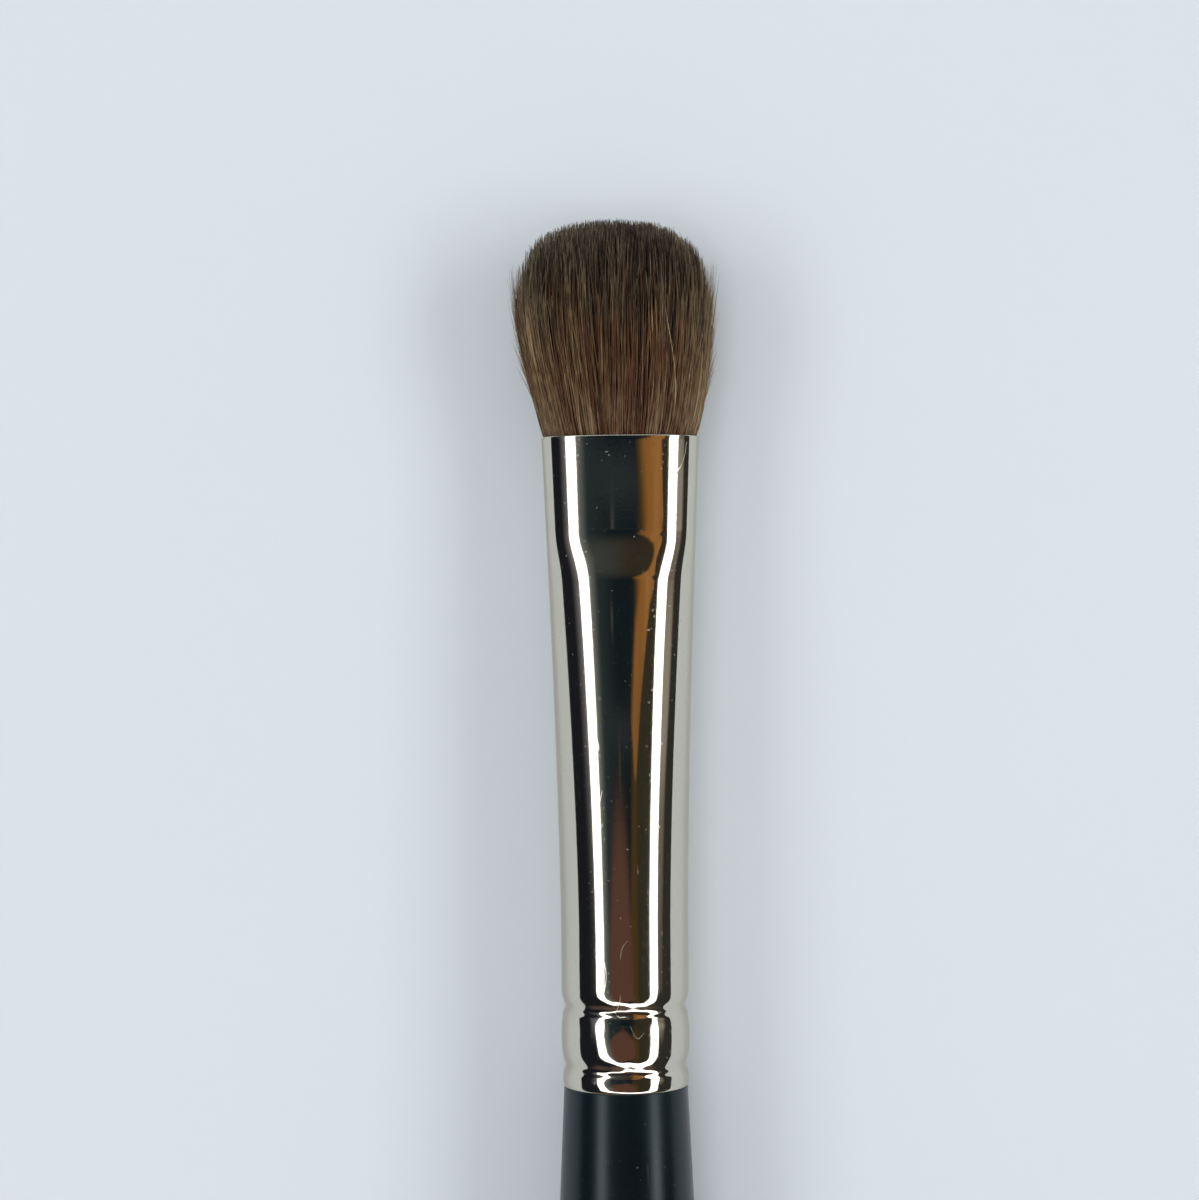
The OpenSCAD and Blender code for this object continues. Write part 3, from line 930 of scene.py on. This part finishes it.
# Directions are degrees from straight up: phi across the brush, psi along it toward the tip
STUDIO_R = 0.6
STUDIO_RINGS = 48
STUDIO_AROUND = 96
RING_CENTRE = 3.0
RING_DRIFT = 17.0
RING_HALF_ACROSS = 50.0
RING_BACK = 42.0
RING_FRONT = 52.0
RING_STRAIGHT = 25.0
RING_FRONT_WIDER = 0.08
RING_FRONT_SHIFT = 1.5
RING_FRONT_FROM = 30
RING_POWER = 2.1
RING_INNER = 0.85
RING_OUTER = 1.14
RING_SOFT = 0.02
RING_LIGHT = rgb(3.0, 3.0, 3.0)
RING_GLOW_IN = 0.26
RING_GLOW_OUT = 0.3
CARD_STRENGTH = 1.33

# Tones of the dark middle and of the walls
MIDDLE = rgb(0.007, 0.013, 0.017)
MIDDLE_LEFT = rgb(0.021, 0.032, 0.035)
MIDDLE_RIGHT = rgb(0.034, 0.029, 0.019)
MIDDLE_GLOW = rgb(0.15, 0.16, 0.16)
BEND_LEFT = rgb(0.046, 0.052, 0.050)
BEND_RIGHT = rgb(0.036, 0.028, 0.019)
WALL_LEFT = rgb(0.011, 0.012, 0.016)
WALL_RIGHT = rgb(0.030, 0.029, 0.025)
WALL_GLOW = rgb(0.16, 0.15, 0.17)
WALL_BEHIND = rgb(0.125, 0.080, 0.066)
WALL_ENDS = rgb(0.30, 0.31, 0.31)

# Soft oval patches of the dark middle and of the walls: phi, half width, psi, half height, softness, colour
MIDDLE_PATCHES = [
    (17, 7, -16, 18, 0.3, rgb(0.066, 0.040, 0.013)),
    (-7, 24, -15.5, 14, 0.15, rgb(0.104, 0.050, 0.036)),
    (-2, 22, 1.4, 0.6, 0.6, rgb(0.026, 0.034, 0.038)),
    (-5.5, 1.3, 0.2, 0.45, 0.8, rgb(0.066, 0.072, 0.066)),
    (-12, 1.3, 5.6, 0.4, 0.8, rgb(0.085, 0.080, 0.065)),
]
WALL_PATCHES = [
    (66, 8, 10, 18, 0.3, rgb(0.17, 0.145, 0.125)),
    (66, 8, 0, 2.6, 0.5, rgb(0.29, 0.255, 0.22)),
]


def studio_material():
    """Bright softbox ring overhead with a dark middle and dark walls, by direction from the ferrule."""
    s = Shader("studio_cards")
    direction = s.vector("NORMALIZE", s.coordinates())
    parts = s.add("ShaderNodeSeparateXYZ")
    s.feed(parts.inputs[0], direction)
    x, y, z = parts.outputs
    phi = s.math("DEGREES", s.math("ARCTAN2", x, z))
    psi = s.math("DEGREES", s.math("ARCSINE", y))
    backward = s.scale(psi, 0, -RING_BACK, 0, 1)
    ahead = s.step(psi, 0, RING_FRONT_FROM)
    centre = s.math("MULTIPLY_ADD", s.math("MULTIPLY", backward, backward), RING_DRIFT, RING_CENTRE)
    centre = s.math("MULTIPLY_ADD", ahead, RING_FRONT_SHIFT, centre)
    across = s.math("DIVIDE", s.math("ABSOLUTE", s.math("SUBTRACT", phi, centre)), RING_HALF_ACROSS)
    across = s.math("DIVIDE", across, s.math("MULTIPLY_ADD", ahead, RING_FRONT_WIDER, 1.0))
    behind = s.math("DIVIDE", s.math("MAXIMUM", s.math("MULTIPLY", psi, -1.0), 0.0), RING_BACK)
    past_straight = s.math("MAXIMUM", s.math("SUBTRACT", psi, RING_STRAIGHT), 0.0)
    before = s.math("DIVIDE", past_straight, RING_FRONT - RING_STRAIGHT)
    along = s.math("MAXIMUM", behind, before)
    radius = s.math(
        "POWER",
        s.math("ADD", s.math("POWER", across, RING_POWER), s.math("POWER", along, RING_POWER)),
        1 / RING_POWER,
    )
    inside = s.math("SUBTRACT", 1.0, s.step(radius, RING_INNER - RING_SOFT, RING_INNER + RING_SOFT))
    outside = s.step(radius, RING_OUTER - RING_SOFT, RING_OUTER + RING_SOFT)

    def patched(under, patches):
        """A colour with soft oval patches laid over it."""
        for phi_at, phi_half, psi_at, psi_half, softness, over in patches:
            a = s.math("DIVIDE", s.math("SUBTRACT", phi, phi_at), phi_half)
            b = s.math("DIVIDE", s.math("SUBTRACT", psi, psi_at), psi_half)
            distance = s.math("SQRT", s.math("ADD", s.math("MULTIPLY", a, a), s.math("MULTIPLY", b, b)))
            share = s.math("SUBTRACT", 1.0, s.step(distance, 1 - softness, 1 + softness))
            under = s.blend(share, under, over)
        return under

    middle = s.blend(s.step(phi, -4, -32), MIDDLE, MIDDLE_LEFT)
    middle = s.blend(s.step(phi, 10, 24), middle, MIDDLE_RIGHT)
    middle = patched(middle, MIDDLE_PATCHES)
    bend_zone = s.blend(s.step(phi, -24, 16), BEND_LEFT, BEND_RIGHT)
    middle = s.blend(s.step(psi, 6, 34), middle, bend_zone)
    glow = s.step(radius, RING_INNER - RING_GLOW_IN, RING_INNER)
    glow = s.math("MULTIPLY", glow, s.step(phi, -12, -28))
    middle = s.blend(glow, middle, MIDDLE_GLOW)
    walls = s.blend(s.step(phi, -20, 40), WALL_LEFT, WALL_RIGHT)
    walls = patched(walls, WALL_PATCHES)
    left_glow = s.step(radius, RING_OUTER + RING_GLOW_OUT, RING_OUTER)
    left_glow = s.math("MULTIPLY", left_glow, s.step(phi, -20, -40))
    walls = s.blend(s.math("MULTIPLY", left_glow, s.step(psi, -12, 4)), walls, WALL_GLOW)
    walls = s.blend(s.step(psi, -38, -50), walls, WALL_BEHIND)
    ends = s.step(s.math("ABSOLUTE", psi), 62, 76)
    walls = s.blend(ends, walls, WALL_ENDS)
    colour = s.blend(outside, RING_LIGHT, walls)
    colour = s.blend(inside, colour, middle)
    s.tree.links.new(s.glow(colour, CARD_STRENGTH), s.output.inputs["Surface"])
    return s.material


# Warm card near the ferrule, a wedge that the metal mirrors, in millimetres. Its edges are straight between
# listed corners, each given as how far behind the mouth and how far across it lies.
CARD_UP = 30.0
CARD_NEAR_EDGE = [(-15, 22.5), (-8, 17.5), (0, 6), (5.5, 8.5), (13, 5.5), (17.5, 8.5)]
CARD_FAR_EDGE = [(-15, 25), (-5, 26), (-2, 25), (0, 22), (5, 25), (6, 21), (12.5, 14), (17.5, 10.5)]
CARD_DIM_FROM = 4
CARD_DIM_TO = 16
CARD_EDGE_SHARE = 0.34
CARD_WARM = rgb(0.27, 0.115, 0.031)
CARD_PALER = rgb(0.33, 0.155, 0.048)
CARD_DIM = rgb(0.14, 0.065, 0.022)
CARD_EDGE = rgb(0.045, 0.030, 0.014)


def card_rows():
    """Both edges of the warm card, at every place where one of them has a corner."""
    near_at, near_x = np.array(CARD_NEAR_EDGE, float).T
    far_at, far_x = np.array(CARD_FAR_EDGE, float).T
    at = np.union1d(near_at, far_at)
    return at, np.interp(at, near_at, near_x), np.interp(at, far_at, far_x)


def card_material():
    """Warm card with a grain, darker at its near edge and toward its tail."""
    s = Shader("warm_card")
    grain = s.noise(s.stretched((1, 0.3, 1)), scale=160, detail=3)
    warm = s.blend(s.step(grain, 0.3, 0.7), CARD_WARM, CARD_PALER)
    parts = s.add("ShaderNodeSeparateXYZ")
    s.feed(parts.inputs[0], s.coordinates())
    dimmer = s.step(parts.outputs[1], (MOUTH_Y - CARD_DIM_FROM) * MM, (MOUTH_Y - CARD_DIM_TO) * MM)
    warm = s.blend(s.math("MULTIPLY", dimmer, 0.5), warm, CARD_DIM)
    colour = s.blend(s.step(s.attribute("inset"), 0, CARD_EDGE_SHARE), CARD_EDGE, warm)
    s.tree.links.new(s.glow(colour, CARD_STRENGTH), s.output.inputs["Surface"])
    return s.material


def only_mirrored(obj):
    """Makes a card show in the metal alone."""
    for ray in ("camera", "diffuse", "transmission", "volume_scatter", "shadow"):
        setattr(obj, f"visible_{ray}", False)


TABLE_HALF = 3.0


def make_cards():
    """The half sphere of lights and darks over the brush, and the warm card."""
    elevation = np.linspace(0, np.pi / 2, STUDIO_RINGS)[:-1, None]
    turn = np.linspace(0, 2 * np.pi, STUDIO_AROUND, endpoint=False)[None, :]
    shell = np.stack(np.broadcast_arrays(
        np.cos(elevation) * np.cos(turn),
        np.cos(elevation) * np.sin(turn),
        np.sin(elevation) * np.ones_like(turn),
    ), axis=-1).reshape(-1, 3) * STUDIO_R
    faces = grid_faces(STUDIO_RINGS - 1, STUDIO_AROUND)
    top = len(shell)
    last = top - STUDIO_AROUND
    for i in range(STUDIO_AROUND):
        faces.append([top, last + i, last + (i + 1) % STUDIO_AROUND])
    shell = np.concatenate([shell, [[0, 0, STUDIO_R]]])
    dome_object = add_mesh("studio_cards", shell, faces, studio_material())
    dome_object.location = Vector((0, MOUTH_Y - FERRULE_LEN / 2, 0)) * MM
    only_mirrored(dome_object)

    at, near_x, far_x = card_rows()
    near = place(near_x, at, CARD_UP)
    far = place(far_x, at, CARD_UP)
    rows = len(at)
    strip = [[k, k + 1, rows + k + 1, rows + k] for k in range(rows - 1)]
    card = add_mesh("warm_card", np.concatenate([near, far]), strip, card_material(), smooth_shading=False)
    inset = card.data.attributes.new("inset", "FLOAT", "POINT")
    inset.data.foreach_set("value", [0.0] * rows + [1.0] * rows)
    only_mirrored(card)


def make_table():
    half = TABLE_HALF
    floor_points = np.array([[-half, -half, 0], [half, -half, 0], [half, half, 0], [-half, half, 0]])
    floor = add_mesh("table", floor_points, [[0, 1, 2, 3]], floor_material(), smooth_shading=False)


# Lamps: name, angle from straight up in degrees, power and colour
LAMPS = [
    ("right_softbox", 50, 2.2, (1, 1, 1)),
    ("left_softbox", -48, 1.7, (1, 1, 1)),
    ("top_softbox", -11, 1.25, (0.93, 0.99, 1.05)),
]
LAMP_DISTANCE = 0.8
LAMP_ACROSS = 0.28
LAMP_ALONG = 0.7


def make_lamp(name, angle, power, colour):
    """Long soft lamp over the ferrule, aimed at it."""
    data = bpy.data.lights.new(name, "AREA")
    data.shape = "RECTANGLE"
    data.size = LAMP_ACROSS
    data.size_y = LAMP_ALONG
    data.energy = power
    data.color = colour
    lamp = bpy.data.objects.new(name, data)
    turn = math.radians(angle)
    ferrule_middle = (MOUTH_Y - FERRULE_LEN / 2) * MM
    lamp.location = Vector((math.sin(turn) * LAMP_DISTANCE, ferrule_middle, math.cos(turn) * LAMP_DISTANCE))
    lamp.rotation_euler = (0, turn, 0)
    lamp.visible_camera = False
    lamp.visible_glossy = False
    bpy.context.scene.collection.objects.link(lamp)


SKY_LIGHT = 0.46


def make_sky():
    """Even light, with the backdrop's colour wherever the room itself is seen."""
    world = bpy.data.worlds.new("pale_room")
    bpy.context.scene.world = world
    world.use_nodes = True
    tree = world.node_tree
    tree.nodes.clear()
    path = tree.nodes.new("ShaderNodeLightPath")
    seen = path.outputs["Is Camera Ray"]
    for name in ("Is Glossy Ray", "Is Transmission Ray"):
        add = tree.nodes.new("ShaderNodeMath")
        add.operation = "MAXIMUM"
        tree.links.new(seen, add.inputs[0])
        tree.links.new(path.outputs[name], add.inputs[1])
        seen = add.outputs[0]
    lighting = tree.nodes.new("ShaderNodeBackground")
    lighting.inputs["Color"].default_value = rgb(1, 1, 1)
    lighting.inputs["Strength"].default_value = SKY_LIGHT
    shown = tree.nodes.new("ShaderNodeBackground")
    shown.inputs["Color"].default_value = BACKDROP
    shown.inputs["Strength"].default_value = 1.0
    join = tree.nodes.new("ShaderNodeMixShader")
    output = tree.nodes.new("ShaderNodeOutputWorld")
    tree.links.new(seen, join.inputs[0])
    tree.links.new(lighting.outputs[0], join.inputs[1])
    tree.links.new(shown.outputs[0], join.inputs[2])
    tree.links.new(join.outputs[0], output.inputs["Surface"])


RESIN_DARK = rgb(0.40, 0.24, 0.08)
RESIN_LIGHT = rgb(0.58, 0.40, 0.18)
GLUE_DARK = rgb(0.70, 0.62, 0.44)
GLUE_LIGHT = rgb(0.84, 0.79, 0.64)


def paint_inner_pieces():
    """The hidden pieces keep their CAD solids and only get their materials."""
    inner = {
        "root_tie": thread_material(),
        "resin_plug": cast_material("cast_resin", RESIN_DARK, RESIN_LIGHT, scale=700, roughness=0.25),
        "tenon_glue": cast_material("wood_glue", GLUE_DARK, GLUE_LIGHT, scale=900, roughness=0.4),
    }
    for node_name, material in inner.items():
        for material_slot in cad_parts[node_name].material_slots:
            material_slot.material = material


make_camera()
make_ferrule(nickel_material())
make_handle(lacquer_material())
make_hair(hair_material())
paint_inner_pieces()
make_cards()
make_table()
for lamp in LAMPS:
    make_lamp(*lamp)
make_sky()
bpy.context.scene.view_settings.view_transform = "Standard"
